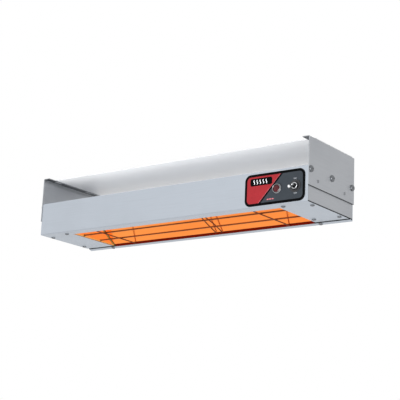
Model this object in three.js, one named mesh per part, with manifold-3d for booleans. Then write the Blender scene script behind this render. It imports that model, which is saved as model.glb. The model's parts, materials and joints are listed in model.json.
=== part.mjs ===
// Ceiling-hung strip heat lamp warmer: a 24 in sheet metal housing with a radiant element
// and a wire guard underneath, carried by two end brackets under a thin top plate.
// Millimetres. The housing is modelled with X along its length, the control face at -Y and
// Z = 0 on its underside. The last lines move it so that the origin is the centre of the
// top plate's upper face, which is what the warmer hangs from.
import * as THREE from "three";
import { mergeVertices } from "three/addons/utils/BufferGeometryUtils.js";
import Module from "manifold-3d";

// Overall sizes
const INCH = 25.4;
const LENGTH = 24 * INCH;
const DEPTH = 6 * INCH;
const HOUSING_HEIGHT = 2.5 * INCH;
const BRACKET_TOP = 4.5 * INCH;
const GAP = 0.3; // clearance between neighbouring pieces

// Sheet metal
const SHELL = 1.2;
const BRACKET = 1.5;
const PLATE = 1.0;
const MIRROR = 0.8;

// Opening in the underside
const OPENING_HALF = 237;
const OPENING_FRONT = -55;
const PAN_EDGE_Y = 62.3;
const HEM_Y = 66.7; // front of the rear lip, across an open joint from the pan
const HEM_HEIGHT = 3.2;
const LIP_DROP = 3.4; // the rear lip slopes down by this much to its outer edge

// End brackets
const BRACKET_BOTTOM = 28;
const FLANGE = 14.3;
const SLOT_X = 297.5;
const SLOT_Y = 45;

// Radiant element, reflector and guard
const MIRROR_SLOPE = Math.tan(THREE.MathUtils.degToRad(34));
const MIRROR_TOP = 39.5;
const ELEMENT_Z = 28;
const ELEMENT_R = 4.75;
const RAIL_Y = 24.6;
const RAIL_R = 1.3;
const CROSS_X = 180;

// Controls
const SWITCH_X = 280;
const SWITCH_Z = 28.8;
const SWITCH_PIVOT_Y = -78.5;
const SWITCH_REST_TILT = -17;
const LAMP_X = 243.9;
const LAMP_Z = 28.4;
const GLAND_X = 274;
const GLAND_Y = 28;

const END = LENGTH / 2;
const FRONT = -DEPTH / 2;
const REAR = DEPTH / 2;
const SIDES = [
  { name: "left", sign: -1 },
  { name: "right", sign: 1 },
];

const wasm = await Module();
wasm.setup();
const part = new THREE.Group();
part.name = "heat_lamp_warmer";

// Solids

function toManifold(geometry) {
  const bare = geometry.clone();
  bare.deleteAttribute("normal");
  bare.deleteAttribute("uv");
  const merged = mergeVertices(bare, 1e-4);
  return new wasm.Manifold(
    new wasm.Mesh({
      numProp: 3,
      vertProperties: merged.attributes.position.array,
      triVerts: new Uint32Array(merged.index.array),
    }),
  );
}

function fromManifold(solid) {
  const mesh = solid.getMesh();
  const indexed = new THREE.BufferGeometry();
  indexed.setAttribute("position", new THREE.BufferAttribute(mesh.vertProperties, 3));
  indexed.setIndex(new THREE.BufferAttribute(mesh.triVerts, 1));
  const geometry = indexed.toNonIndexed();
  geometry.computeVertexNormals();
  return geometry;
}

function cut(geometry, tools) {
  let solid = toManifold(geometry);
  for (const tool of tools) {
    solid = solid.subtract(toManifold(tool));
  }
  return fromManifold(solid);
}

function join(geometries) {
  let solid = toManifold(geometries[0]);
  for (const geometry of geometries.slice(1)) {
    solid = solid.add(toManifold(geometry));
  }
  return fromManifold(solid);
}

// A box from its low corner to its high corner.
function box(low, high) {
  const size = high.map((value, i) => value - low[i]);
  const centre = high.map((value, i) => (value + low[i]) / 2);
  return new THREE.BoxGeometry(...size).translate(...centre);
}

// Turns a shape that grows along +Z so that it grows along the given axis.
function aim(geometry, axis) {
  const turns = {
    "+X": [0, Math.PI / 2, 0],
    "-X": [0, -Math.PI / 2, 0],
    "+Y": [-Math.PI / 2, 0, 0],
    "-Y": [Math.PI / 2, 0, 0],
    "+Z": [0, 0, 0],
    "-Z": [Math.PI, 0, 0],
  };
  const [x, y, z] = turns[axis];
  return geometry.rotateX(x).rotateY(y).rotateZ(z);
}

// A turned solid: the profile holds [radius, height] pairs, and the height runs along axis.
function turned(profile, axis, at, segments = 20) {
  const points = profile.map(([r, h]) => new THREE.Vector2(r, h));
  const geometry = new THREE.LatheGeometry(points, segments);
  geometry.rotateX(Math.PI / 2);
  return aim(geometry, axis).translate(...at);
}

// A plain rod or hole that starts at a point and runs along axis.
function rod(radius, length, axis, at, segments = 20) {
  return turned([[0, 0], [radius, 0], [radius, length], [0, length]], axis, at, segments);
}

// A hexagonal nut, sized across its flats.
function hexNut(bore, flats, thick, axis, at) {
  const prism = rod(flats / Math.sqrt(3), thick, "+Z", [0, 0, 0], 6);
  return aim(cut(prism, [rod(bore, thick + 2, "+Z", [0, 0, -1], 24)]), axis).translate(...at);
}

// Rounds the corners of an open line and gives the sheet the thickness on its left side.
function sheetShape(line, radius, thickness, steps = 4) {
  const outer = [];
  const inner = [];
  const put = (point, normal) => {
    outer.push(point);
    inner.push(point.clone().addScaledVector(normal, thickness));
  };
  const points = line.map(([u, v]) => new THREE.Vector2(u, v));
  const leftOf = (d) => new THREE.Vector2(-d.y, d.x);
  for (let i = 0; i < points.length; i++) {
    const into = i > 0 ? points[i].clone().sub(points[i - 1]).normalize() : null;
    const out = i + 1 < points.length ? points[i + 1].clone().sub(points[i]).normalize() : null;
    if (!into || !out) {
      put(points[i], leftOf(into ?? out));
      continue;
    }
    const turn = Math.atan2(into.cross(out), into.dot(out));
    const side = Math.sign(turn);
    const bend = side > 0 ? radius : Math.max(radius - thickness, 0.4);
    const back = bend * Math.tan(Math.abs(turn) / 2);
    const centre = points[i].clone().addScaledVector(into, -back);
    centre.addScaledVector(leftOf(into), side * bend);
    for (let k = 0; k <= steps; k++) {
      const d = into.clone().rotateAround(new THREE.Vector2(), (turn * k) / steps);
      const normal = leftOf(d);
      put(centre.clone().addScaledVector(normal, -side * bend), normal);
    }
  }
  return new THREE.Shape([...outer, ...inner.reverse()]);
}

// Sheet with its section in the YZ plane, from x0 to x1.
function sheetAlongX(line, radius, thickness, x0, x1) {
  const shape = sheetShape(line, radius, thickness);
  const geometry = new THREE.ExtrudeGeometry(shape, { depth: x1 - x0, bevelEnabled: false });
  geometry.rotateX(Math.PI / 2).rotateZ(Math.PI / 2);
  return geometry.translate(x0, 0, 0);
}

// Sheet with its section in the XZ plane, from y0 to y1.
function sheetAlongY(line, radius, thickness, y0, y1) {
  const shape = sheetShape(line, radius, thickness);
  const geometry = new THREE.ExtrudeGeometry(shape, { depth: y1 - y0, bevelEnabled: false });
  return geometry.rotateX(Math.PI / 2).translate(0, y1, 0);
}

function roundedShape(width, height, radius) {
  const w = width / 2;
  const h = height / 2;
  const shape = new THREE.Shape();
  shape.absarc(w - radius, h - radius, radius, 0, Math.PI / 2);
  shape.absarc(radius - w, h - radius, radius, Math.PI / 2, Math.PI);
  shape.absarc(radius - w, radius - h, radius, Math.PI, 1.5 * Math.PI);
  shape.absarc(w - radius, radius - h, radius, 1.5 * Math.PI, 2 * Math.PI);
  return shape;
}

// A round-cornered slab, growing along axis from the centre of its first face.
function slab(width, height, radius, thickness, axis, at) {
  const options = { depth: thickness, bevelEnabled: false, curveSegments: 4 };
  const geometry = new THREE.ExtrudeGeometry(roundedShape(width, height, radius), options);
  return aim(geometry, axis).translate(...at);
}

// Round wire bent along straight runs, with each corner rounded.
function wire(points, radius, corner, sides = 8) {
  const stops = points.map((p) => new THREE.Vector3(...p));
  const path = new THREE.CurvePath();
  let from = stops[0];
  for (let i = 1; i < stops.length - 1; i++) {
    const before = stops[i - 1].clone().sub(stops[i]);
    const after = stops[i + 1].clone().sub(stops[i]);
    const reach = Math.min(corner, before.length() * 0.45, after.length() * 0.45);
    const start = stops[i].clone().addScaledVector(before.normalize(), reach);
    const stop = stops[i].clone().addScaledVector(after.normalize(), reach);
    path.add(new THREE.LineCurve3(from, start));
    path.add(new THREE.QuadraticBezierCurve3(start, stops[i], stop));
    from = stop;
  }
  path.add(new THREE.LineCurve3(from, stops[stops.length - 1]));
  return sweep(path, radius, sides);
}

// Sweeps a circle along a path, with rings only where the path bends.
function sweep(path, radius, sides) {
  const rings = [];
  for (const piece of path.curves) {
    const count = piece.isLineCurve3 ? 1 : 4;
    for (let k = 0; k <= count; k++) {
      const point = piece.getPoint(k / count);
      const last = rings[rings.length - 1];
      if (!last || last.point.distanceTo(point) > 1e-4) {
        rings.push({ point, tangent: piece.getTangent(k / count) });
      }
    }
  }
  const across = new THREE.Vector3(1, 0, 0);
  if (Math.abs(rings[0].tangent.x) > 0.7) {
    across.set(0, 1, 0);
  }
  const corners = [];
  for (const { point, tangent } of rings) {
    across.addScaledVector(tangent, -across.dot(tangent)).normalize();
    const up = tangent.clone().cross(across);
    for (let s = 0; s < sides; s++) {
      const angle = (2 * Math.PI * s) / sides;
      const corner = point.clone().addScaledVector(across, radius * Math.cos(angle));
      corners.push(corner.addScaledVector(up, radius * Math.sin(angle)));
    }
  }
  const faces = [];
  for (let r = 0; r + 1 < rings.length; r++) {
    for (let s = 0; s < sides; s++) {
      const a = r * sides + s;
      const b = r * sides + ((s + 1) % sides);
      faces.push(a, b, b + sides, a, b + sides, a + sides);
    }
  }
  const final = (rings.length - 1) * sides;
  for (let s = 1; s + 1 < sides; s++) {
    faces.push(0, s + 1, s, final, final + s, final + s + 1);
  }
  const indexed = new THREE.BufferGeometry().setFromPoints(corners);
  indexed.setIndex(faces);
  const geometry = indexed.toNonIndexed();
  geometry.computeVertexNormals();
  return geometry;
}

const FINISHES = {
  aluminium: { color: 0xc3cad2, metalness: 0.9, roughness: 0.4 },
  mirror: { color: 0xe9a566, metalness: 1.0, roughness: 0.15 },
  steel: { color: 0xa8abae, metalness: 1.0, roughness: 0.35 },
  chrome: { color: 0xd8dadd, metalness: 1.0, roughness: 0.1 },
  wire: { color: 0x7a5a46, metalness: 0.9, roughness: 0.45 },
  sheath: { color: 0xff7a2a, metalness: 0.3, roughness: 0.6 },
  ceramic: { color: 0xe9e4d8, metalness: 0.0, roughness: 0.6 },
  brass: { color: 0xc2a25a, metalness: 1.0, roughness: 0.35 },
  black: { color: 0x1b1c1e, metalness: 0.0, roughness: 0.55 },
  label: { color: 0x4b5055, metalness: 0.0, roughness: 0.4 },
  lens: { color: 0x780a05, metalness: 0.0, roughness: 0.15 },
  sleeve: { color: 0xd9d2c0, metalness: 0.0, roughness: 0.8 },
};

function add(name, geometry, finish) {
  const mesh = new THREE.Mesh(geometry, new THREE.MeshStandardMaterial(FINISHES[finish]));
  mesh.name = name;
  part.add(mesh);
}

// Where the fasteners go

const BRACKET_SCREW_Z = 57;
const BRACKET_SCREW_Y = [-70.2, 0, 70.2];
const BRACKET_SCREW_NAMES = ["front", "middle", "rear"];
const RIVET_Z = 40.4;
const RIVET_Y = [-46.8, 43.6];
const RIVET_NAMES = ["front", "rear"];
const BASE_SCREWS = [
  { name: "left_front", x: -297, y: -48 },
  { name: "left_rear", x: -297, y: 43.5 },
  { name: "right_front", x: 297, y: -48 },
  { name: "right_rear", x: 297, y: 43.5 },
  { name: "inner_left_front", x: -248, y: -62 },
  { name: "inner_right_front", x: 248, y: -62 },
  { name: "inner_right_rear", x: 246.5, y: 42 },
  { name: "lip_left", x: -243, y: 71.4 },
  { name: "lip_right", x: 243, y: 71.4 },
];

function baseHoles(radius) {
  return BASE_SCREWS.map(({ x, y }) => rod(radius, 12, "+Z", [x, y, -4], 12));
}

function endHoles(sign) {
  const axis = sign > 0 ? "+X" : "-X";
  const start = sign * (END - 12);
  const screws = BRACKET_SCREW_Y.map((y) => rod(2.3, 20, axis, [start, y, BRACKET_SCREW_Z], 12));
  const rivets = RIVET_Y.map((y) => rod(1.9, 20, axis, [start, y, RIVET_Z], 12));
  return [...screws, ...rivets];
}

// Housing

const frontLine = [[-60, HOUSING_HEIGHT], [FRONT, HOUSING_HEIGHT], [FRONT, 0], [PAN_EDGE_Y, 0]];
const openingTool = box([-OPENING_HALF, OPENING_FRONT, -1], [OPENING_HALF, PAN_EDGE_Y + 1, 2]);
const bushingHole = rod(6.3, 10, "+Y", [SWITCH_X, FRONT - 4, SWITCH_Z]);
const lampHole = rod(6.5, 10, "+Y", [LAMP_X, FRONT - 4, LAMP_Z]);
add(
  "front_pan",
  cut(sheetAlongX(frontLine, 2.2, SHELL, -END, END), [
    openingTool,
    bushingHole,
    lampHole,
    ...baseHoles(2.1),
  ]),
  "aluminium",
);

const channelTop = HOUSING_HEIGHT - SHELL - GAP;
const channelLine = [
  [HEM_Y, HEM_HEIGHT],
  [HEM_Y, 0],
  [REAR, -LIP_DROP],
  [REAR, channelTop],
  [FRONT + 3.2, channelTop],
];
const hemEnds = SIDES.map(({ sign }) => {
  const x = [sign * (OPENING_HALF - 4), sign * (END + 1)].sort((a, b) => a - b);
  return box([x[0], HEM_Y - 1, 1.25], [x[1], HEM_Y + 2.3, HEM_HEIGHT + 1]);
});
add(
  "rear_channel",
  cut(sheetAlongX(channelLine, 1.6, SHELL, -END, END), [
    ...hemEnds,
    ...baseHoles(2.6),
    rod(9.6, 10, "+Z", [GLAND_X, GLAND_Y, HOUSING_HEIGHT - 6], 24),
  ]),
  "aluminium",
);

// End caps: flanged sheets just inside the shell, with a shadow gap along their lower edge.
const floorZ = SHELL + GAP;
const capLow = floorZ + GAP;
const capHigh = channelTop - SHELL - GAP;
for (const { name, sign } of SIDES) {
  const line = [[END - 15, capLow], [END, capLow], [END, capHigh], [END - 15, capHigh]];
  const cap = sheetAlongY(line, 1.5, SHELL, FRONT + 1.6, REAR - 1.6);
  if (sign < 0) {
    cap.rotateZ(Math.PI);
  }
  add(`end_cap_${name}`, cut(cap, [...endHoles(sign), ...baseHoles(2.1)]), "aluminium");
}

// Hanging brackets: an upright outside each end cap and a flange turned in at the top.
const bracketOuter = END + GAP + BRACKET;
for (const { name, sign } of SIDES) {
  const line = [
    [bracketOuter, BRACKET_BOTTOM],
    [bracketOuter, BRACKET_TOP],
    [bracketOuter - FLANGE, BRACKET_TOP],
  ];
  const bracket = sheetAlongY(line, 2.4, BRACKET, FRONT - 0.8, REAR + 0.8);
  if (sign < 0) {
    bracket.rotateZ(Math.PI);
  }
  const slots = [-SLOT_Y, SLOT_Y].map((y) =>
    slab(6, 16, 2.9, 8, "+Z", [sign * SLOT_X, y, BRACKET_TOP - 5]),
  );
  add(`bracket_${name}`, cut(bracket, [...endHoles(sign), ...slots]), "aluminium");
}

// Top plate, lying on the two flanges. Its screw holes are over the flange slots.
const plateFront = -56.2;
const plateHalf = END - 0.8;
const plateY = (plateFront + REAR) / 2;
const plateZ = BRACKET_TOP + GAP;
const plate = slab(2 * plateHalf, REAR - plateFront, 3, PLATE, "+Z", [0, plateY, plateZ]);
const plateHoles = [];
for (const { sign } of SIDES) {
  for (const y of [-SLOT_Y, SLOT_Y]) {
    plateHoles.push(rod(2.6, 6, "+Z", [sign * SLOT_X, y, plateZ - 2], 16));
  }
}
add("top_plate", cut(plate, plateHoles), "aluminium");

// Reflector: a polished trough over the opening, closed at both ends.
const mirrorFront = [OPENING_FRONT, 4.4];
const mirrorRear = [63.4, HEM_HEIGHT + GAP];
const mirrorLine = [
  [mirrorFront[0] - 6, mirrorFront[1]],
  mirrorFront,
  [mirrorFront[0] + (MIRROR_TOP - mirrorFront[1]) / MIRROR_SLOPE, MIRROR_TOP],
  [mirrorRear[0] - (MIRROR_TOP - mirrorRear[1]) / MIRROR_SLOPE, MIRROR_TOP],
  mirrorRear,
  [mirrorRear[0] + 8, mirrorRear[1]],
];
const mirrorHalf = OPENING_HALF - 4.2;
add("reflector", sheetAlongX(mirrorLine, 5, MIRROR, -mirrorHalf, mirrorHalf), "mirror");

// End walls: a foot rests on the pan and a wall stands just beyond each end of the trough.
for (const { name, sign } of SIDES) {
  const inner = OPENING_HALF - 1.2;
  const line = [[inner, MIRROR_TOP + 6], [inner, floorZ], [OPENING_HALF + 21, floorZ]];
  const angle = sheetAlongY(line, 1.4, MIRROR, -67, 74);
  if (sign < 0) {
    angle.rotateZ(Math.PI);
  }
  const tools = baseHoles(2.1);
  const x = [sign * (inner - 3), sign * (inner + 7)].sort((a, b) => a - b);
  for (const y of [-RAIL_Y, RAIL_Y]) {
    tools.push(box([x[0], y - 1.7, 1], [x[1], y + 1.7, 6]));
  }
  tools.push(rod(7.6, 16, "+X", [sign * inner - 8, 0, ELEMENT_Z]));
  const rise = 60;
  const slopes = [
    [[-80, 6.5], [-62, 6.5], [-62 + rise / MIRROR_SLOPE, 6.5 + rise], [-80, 6.5 + rise]],
    [[80, 6.5], [70.5, 6.5], [70.5 - rise / MIRROR_SLOPE, 6.5 + rise], [80, 6.5 + rise]],
  ];
  for (const slope of slopes) {
    const shape = new THREE.Shape(slope.map(([y, z]) => new THREE.Vector2(y, z)));
    const prism = new THREE.ExtrudeGeometry(shape, { depth: 10, bevelEnabled: false });
    prism.rotateX(Math.PI / 2).rotateZ(Math.PI / 2).translate(x[0], 0, 0);
    tools.push(prism);
  }
  const hemGap = [sign * (inner - 3), sign * (OPENING_HALF - 3)].sort((a, b) => a - b);
  tools.push(box([hemGap[0], HEM_Y - 1.7, 1], [hemGap[1], HEM_Y + 2.3, HEM_HEIGHT + GAP]));
  add(`reflector_end_${name}`, cut(angle, tools), "mirror");
}

// Radiant element: a straight metal sheath in ceramic bushings, with a stud at each end.
const sheathHalf = 252;
add(
  "element_sheath",
  rod(ELEMENT_R, 2 * sheathHalf, "+X", [-sheathHalf, 0, ELEMENT_Z], 20),
  "sheath",
);
for (const { name, sign } of SIDES) {
  const axis = sign > 0 ? "+X" : "-X";
  const start = sign * (OPENING_HALF - 5.7);
  const sleeve = [
    [ELEMENT_R + 0.1, 0],
    [9.6, 0],
    [9.6, 2.5],
    [7.4, 2.5],
    [7.4, 9],
    [ELEMENT_R + 0.1, 9],
    [ELEMENT_R + 0.1, 0],
  ];
  add(
    `element_bushing_${name}`,
    turned(sleeve, axis, [start, 0, ELEMENT_Z]),
    "ceramic",
  );
  const stud = [[0, 0], [2, 0], [2, 3], [4.2, 3], [4.2, 5.4], [2, 5.4], [2, 12], [0, 12]];
  const at = [sign * (sheathHalf + 0.1), 0, ELEMENT_Z];
  add(`element_stud_${name}`, turned(stud, axis, at, 12), "steel");
}

// Wire cradle under the middle of the element: two legs to the rear, joined round it.
const cradle = [
  [33.2, 62.6, 2.4],
  [33.2, 36, 12],
  [30, 8, ELEMENT_Z - 7],
  [26, -8, ELEMENT_Z - 7],
  [22, 8, ELEMENT_Z - 7],
  [19.2, 36, 12],
  [19.2, 62.6, 2.4],
];
add("element_cradle", wire(cradle, 1.1, 6), "wire");

// Guard: two long rails, and two cross wires beneath them that hook over the pan's edges.
const railHalf = OPENING_HALF + 9;
const railZ = 3.9;
for (const [name, y] of [["front", -RAIL_Y], ["rear", RAIL_Y]]) {
  add(`guard_rail_${name}`, rod(RAIL_R, 2 * railHalf, "+X", [-railHalf, y, railZ], 12), "wire");
}
for (const { name, sign } of SIDES) {
  const x = sign * CROSS_X;
  const line = [[x, -60.5, 2.85], [x, -56, 2.85], [x, -52, 1.1], [x, HEM_Y - 0.5, 1.1]];
  add(`guard_cross_${name}`, wire(line, 1.15, 2), "wire");
}

// Name panel: a thin round-cornered sheet over the control end of the front face.
const LABEL_WIDTH = 121;
const LABEL_HEIGHT = 56.5;
const LABEL_THICK = 0.5;
const LABEL_CORNER = 11.5;
const labelX = 238.7;
const labelZ = 30.6;
const labelBack = FRONT - 0.1;
const labelAt = [labelX, labelBack, labelZ];
add(
  "label_panel",
  cut(slab(LABEL_WIDTH, LABEL_HEIGHT, LABEL_CORNER, LABEL_THICK, "-Y", labelAt), [
    bushingHole,
    lampHole,
  ]),
  "label",
);
const labelFace = labelBack - LABEL_THICK;

// Toggle switch: a moulded body behind the panel and a threaded bushing through it.
const bodyFront = FRONT + SHELL + 2.4;
const bodyBack = bodyFront + 23;
const BLADES = [
  { name: "line", z: SWITCH_Z + 8 },
  { name: "load", z: SWITCH_Z - 8 },
];
// A box centred on the switch, from y0 to y1 and around the height z.
function switchBox(halfWidth, halfHeight, y0, y1, z = SWITCH_Z) {
  return box(
    [SWITCH_X - halfWidth, y0, z - halfHeight],
    [SWITCH_X + halfWidth, y1, z + halfHeight],
  );
}
add(
  "switch_body",
  cut(switchBox(8.5, 14, bodyFront, bodyBack), [
    switchBox(6, 11, bodyFront - 1, bodyBack - 3),
    ...BLADES.map(({ z }) => switchBox(3.5, 0.7, bodyBack - 5, bodyBack + 1, z)),
  ]),
  "black",
);
for (const { name, z } of BLADES) {
  add(`switch_blade_${name}`, switchBox(3.15, 0.4, bodyBack - 2.8, bodyBack + 8, z), "brass");
}
const mouth = bodyFront - 0.1 - (labelFace - 4.2);
const bushing = [
  [4.4, 0],
  [8.3, 0],
  [8.3, 1.4],
  [5.9, 1.4],
  [5.9, mouth - 0.8],
  [5.4, mouth],
  [4.9, mouth],
  [3.9, mouth - 1.6],
  [3.9, 3.4],
  [4.4, 0],
];
const bushingAt = [SWITCH_X, bodyFront - 0.1, SWITCH_Z];
add("switch_bushing", turned(bushing, "-Y", bushingAt), "chrome");
const ring = (inner, outer, thick) => [
  [inner, 0],
  [outer, 0],
  [outer, thick],
  [inner, thick],
  [inner, 0],
];
const washerAt = [SWITCH_X, labelFace - 0.1, SWITCH_Z];
add("switch_washer", turned(ring(6.1, 10.7, 0.7), "-Y", washerAt, 28), "black");
const nutAt = [SWITCH_X, labelFace - 0.9, SWITCH_Z];
add("switch_nut", hexNut(6.1, 13, 2.3, "-Y", nutAt), "chrome");

// The bat lever, drawn level and then tilted to the off position about its pivot.
const leverProfile = [
  [0, -10.5],
  [1.3, -10],
  [1.5, -3.2],
  [2.7, -2.2],
  [3.5, 0],
  [2.7, 2.2],
  [1.6, 3.4],
  [1.6, 9],
  [2.1, 14],
  [2.7, 17],
  [2.8, 18.6],
  [2.4, 20],
  [1.4, 20.9],
  [0, 21.1],
];
const pivot = new THREE.Vector3(SWITCH_X, SWITCH_PIVOT_Y, SWITCH_Z);
const restTilt = THREE.MathUtils.degToRad(-SWITCH_REST_TILT);
const lever = turned(leverProfile, "-Y", [0, 0, 0], 16).rotateX(restTilt);
add("switch_lever", lever.translate(pivot.x, pivot.y, pivot.z), "chrome");

// The contact rocker turns the other way inside the body.
const rockerY = bodyFront + 11;
const rocker = join([
  box([-3, -1.2, -8], [3, 1.2, 8]),
  rod(2.2, 10, "+X", [-5, 0, 0], 12),
]).rotateX(-restTilt * 0.8);
add("switch_rocker", rocker.translate(SWITCH_X, rockerY, SWITCH_Z), "brass");

// Indicator lamp: a low domed lens in a thin raised ring, its body and nut behind the panel.
const lampAt = [LAMP_X, labelFace - 0.1, LAMP_Z];
const lampRing = [[6.9, 0], [8.3, 0], [8.3, 0.8], [7.6, 1.2], [7.6, 3.2], [6.9, 3.2], [6.9, 0]];
add("lamp_ring", turned(lampRing, "-Y", lampAt, 24), "chrome");
const lens = [[0, 0], [6.6, 0], [6.6, 1.2], [5.8, 2.2], [4.2, 3], [2, 3.5], [0, 3.6]];
add("lamp_lens", turned(lens, "-Y", lampAt, 24), "lens");
add("lamp_body", rod(6.2, 30, "+Y", [LAMP_X, labelFace + 0.2, LAMP_Z]), "black");
const lampNutAt = [LAMP_X, FRONT + SHELL + GAP + 2, LAMP_Z];
add("lamp_nut", hexNut(6.5, 16, 2, "-Y", lampNutAt), "black");

// Cord bushing in the housing top.
const gland = [
  [5, -4],
  [10.4, -4],
  [10.4, -2.2],
  [9.3, -1.6],
  [9.3, 0.2],
  [12, 0.2],
  [12, 2.6],
  [10.6, 4],
  [5, 4],
  [5, -4],
];
add("cord_bushing", turned(gland, "+Z", [GLAND_X, GLAND_Y, channelTop], 24), "black");

// Terminal block on the pan floor, with three wire ports in front and screw wells above.
const blockX = 274;
const blockFront = 40;
const blockBase = floorZ;
const ports = [-8, 0, 8];
const portTools = [];
for (const dx of ports) {
  const x = blockX + dx;
  portTools.push(rod(2.2, 12, "+Y", [x, blockFront - 1, blockBase + 7], 12));
  portTools.push(rod(2.6, 12, "+Z", [x, blockFront + 8, blockBase + 7], 12));
}
const block = box(
  [blockX - 13, blockFront, blockBase],
  [blockX + 13, blockFront + 16, blockBase + 15],
);
add("terminal_block", cut(block, portTools), "ceramic");

// Internal leads. The incoming cord would join the block through the bushing above it.
const LEAD = 1.5;
const portY = blockFront + 4;
const portZ = blockBase + 7;
const bladeY = bodyBack + 8.3;
const leads = {
  lead_line: [
    [blockX + 8, portY, portZ],
    [blockX + 8, 20, portZ],
    [blockX + 8, 6, SWITCH_Z + 8],
    [SWITCH_X, -20, SWITCH_Z + 8],
    [SWITCH_X, bladeY, SWITCH_Z + 8],
  ],
  lead_load: [
    [sheathHalf + 12.5, 0, ELEMENT_Z],
    [sheathHalf + 20, 0, ELEMENT_Z],
    [SWITCH_X, -16, SWITCH_Z - 8],
    [SWITCH_X, bladeY, SWITCH_Z - 8],
  ],
  lead_neutral: [
    [blockX, portY, portZ],
    [blockX, 26, portZ],
    [265, 22, 34],
    [262, 30, 56],
    [240, 62, 56.5],
    [-244, 62, 56.5],
    [-266, 30, 52],
    [-sheathHalf - 22, 2, ELEMENT_Z + 6],
    [-sheathHalf - 20, 0, ELEMENT_Z],
    [-sheathHalf - 12.5, 0, ELEMENT_Z],
  ],
  lead_lamp_line: [
    [LAMP_X + 2.5, -44.2, LAMP_Z + 2],
    [LAMP_X + 6, -34, LAMP_Z + 8],
    [SWITCH_X - 12, -26, SWITCH_Z],
    [SWITCH_X - 6, bladeY + 5, SWITCH_Z - 3.4],
  ],
  lead_lamp_neutral: [
    [LAMP_X - 2, -44.2, LAMP_Z - 3],
    [LAMP_X - 1, -36, 14],
    [blockX - 8, -8, 8.5],
    [blockX - 8, 24, portZ],
    [blockX - 8, portY, portZ],
  ],
};
for (const [name, line] of Object.entries(leads)) {
  add(name, wire(line, LEAD, 7), "sleeve");
}

// Fasteners

const domed = (head, height, shank, length) => [
  [0, -length],
  [shank * 0.7, -length],
  [shank, 0.8 - length],
  [shank, 0],
  [head, 0],
  [head, height * 0.3],
  [head * 0.8, height * 0.75],
  [head * 0.45, height],
  [0, height],
];

// A cross recess in a head that faces along axis.
function crossRecess(size, depth, axis, top) {
  const bars = [
    new THREE.BoxGeometry(size, size * 0.24, depth * 2),
    new THREE.BoxGeometry(size * 0.24, size, depth * 2),
  ];
  return bars.map((bar) => aim(bar, axis).translate(...top));
}

for (const { name, sign } of SIDES) {
  const axis = sign > 0 ? "+X" : "-X";
  const seat = sign * (bracketOuter + 0.1);
  BRACKET_SCREW_Y.forEach((y, i) => {
    const screw = turned(domed(5.85, 3.9, 2, 9), axis, [seat, y, BRACKET_SCREW_Z], 16);
    const top = [seat + sign * 3.9, y, BRACKET_SCREW_Z];
    add(
      `bracket_screw_${name}_${BRACKET_SCREW_NAMES[i]}`,
      cut(screw, crossRecess(4.6, 1.6, axis, top)),
      "steel",
    );
  });
  RIVET_Y.forEach((y, i) => {
    const rivet = turned(domed(2.8, 1.2, 1.6, 5), axis, [seat, y, RIVET_Z], 12);
    add(`rivet_${name}_${RIVET_NAMES[i]}`, rivet, "aluminium");
  });
}
// The two screws in the rear lip are short and stand square to its slope.
for (const { name, x, y } of BASE_SCREWS) {
  const onLip = y > HEM_Y;
  const slope = onLip ? LIP_DROP / (REAR - HEM_Y) : 0;
  const shank = domed(3.9, 2.2, 1.8, onLip ? 2.6 : 7);
  const recess = crossRecess(3.2, 1.0, "-Z", [0, 0, -2.3]);
  const screw = cut(turned(shank, "-Z", [0, 0, -0.1], 14), recess).rotateX(-Math.atan(slope));
  add(`base_screw_${name}`, screw.translate(x, y, -slope * (y - HEM_Y)), "steel");
}

part.position.set(0, -plateY, -plateZ - PLATE);
export default part;
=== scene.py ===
"""Looks of the strip heat lamp warmer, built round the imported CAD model.

Metres in the part's frame: +X towards the switch end, -Y the control face, +Z up, with the
origin on the top plate. Helper functions take millimetres where their names say so.
"""
import json
import math

import bmesh
import bpy
from mathutils import Matrix, Vector


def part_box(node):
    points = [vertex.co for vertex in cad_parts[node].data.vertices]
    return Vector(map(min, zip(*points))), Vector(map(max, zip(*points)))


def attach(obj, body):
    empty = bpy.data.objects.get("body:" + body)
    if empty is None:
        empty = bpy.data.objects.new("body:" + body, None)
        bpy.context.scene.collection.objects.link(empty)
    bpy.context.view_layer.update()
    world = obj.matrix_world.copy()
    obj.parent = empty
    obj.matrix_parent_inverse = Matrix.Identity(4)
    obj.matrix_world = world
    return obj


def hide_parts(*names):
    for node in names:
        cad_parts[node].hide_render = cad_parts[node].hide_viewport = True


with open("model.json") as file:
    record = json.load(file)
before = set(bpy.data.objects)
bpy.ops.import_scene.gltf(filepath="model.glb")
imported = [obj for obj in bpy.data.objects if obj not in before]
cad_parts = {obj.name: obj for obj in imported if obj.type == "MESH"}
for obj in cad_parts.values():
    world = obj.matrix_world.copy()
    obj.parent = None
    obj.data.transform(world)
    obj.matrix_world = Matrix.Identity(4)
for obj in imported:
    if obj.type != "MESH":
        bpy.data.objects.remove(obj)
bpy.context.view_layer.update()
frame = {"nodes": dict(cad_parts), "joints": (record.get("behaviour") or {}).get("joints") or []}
nodes = frame["nodes"]
MM = 0.001
OUTWARD = Vector((0, -1, 0))
UPRIGHT = Matrix.Rotation(math.radians(90), 4, "X")

# ---------------------------------------------------------------- where things are


def middle(node):
    """Centre of a CAD node's box."""
    low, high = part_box(node)
    return (low + high) / 2


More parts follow.
